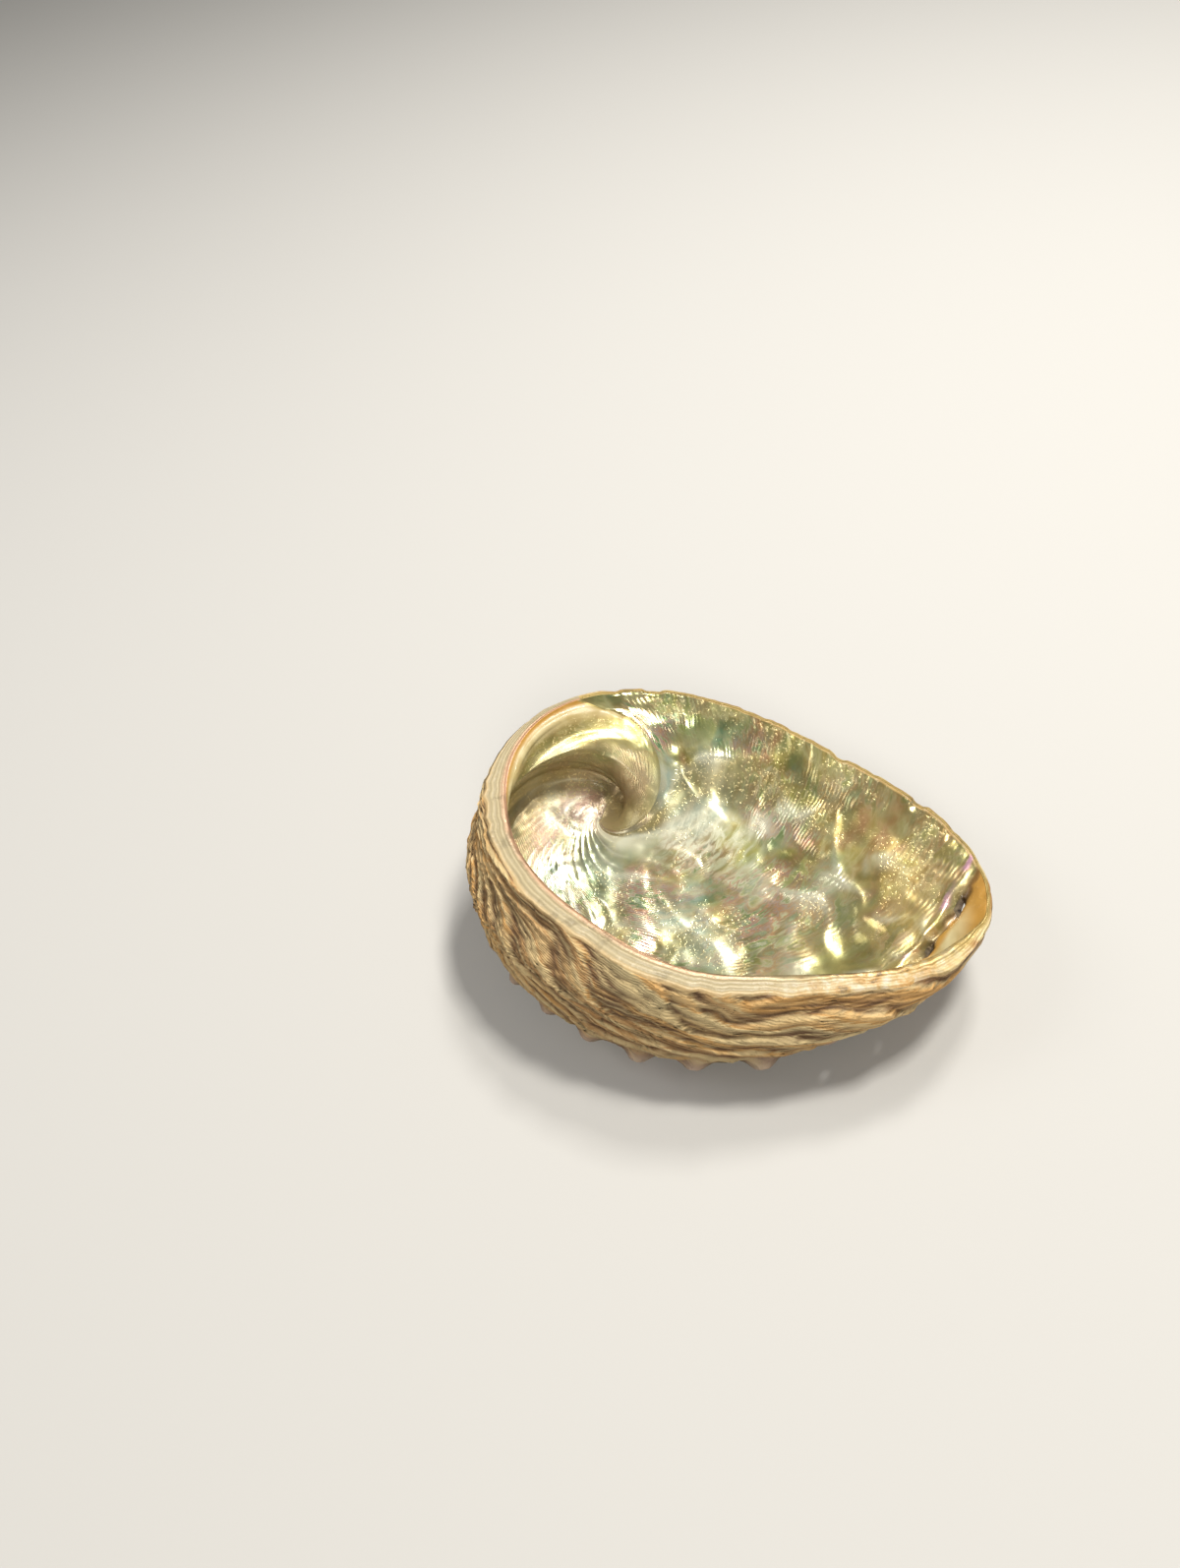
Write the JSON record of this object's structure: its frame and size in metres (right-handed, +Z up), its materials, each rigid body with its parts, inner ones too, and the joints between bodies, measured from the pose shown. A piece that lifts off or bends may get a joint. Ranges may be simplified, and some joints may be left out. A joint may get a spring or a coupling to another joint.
{
  "type": "abalone shell",
  "caption": "Ear-shaped sea shell lying hollow side up, with a low spire, a row of breathing holes and knobs along one side and a flat inner shelf.",
  "frame": {"origin": "on the ground under the middle of the shell's bounding box", "axes": "+X from the spire end towards the head end with the open holes, +Y towards the free outer lip, +Z up out of the hollow"},
  "size_m": [0.0888, 0.0712, 0.0259],
  "materials": {
    "shell": "pearly silver-green nacre inside with a soft rainbow sheen, chalky ribbed cream, olive and brick-red outside"
  },
  "bodies": {
    "root": {"shell": "shell"}
  },
  "joints": []
}
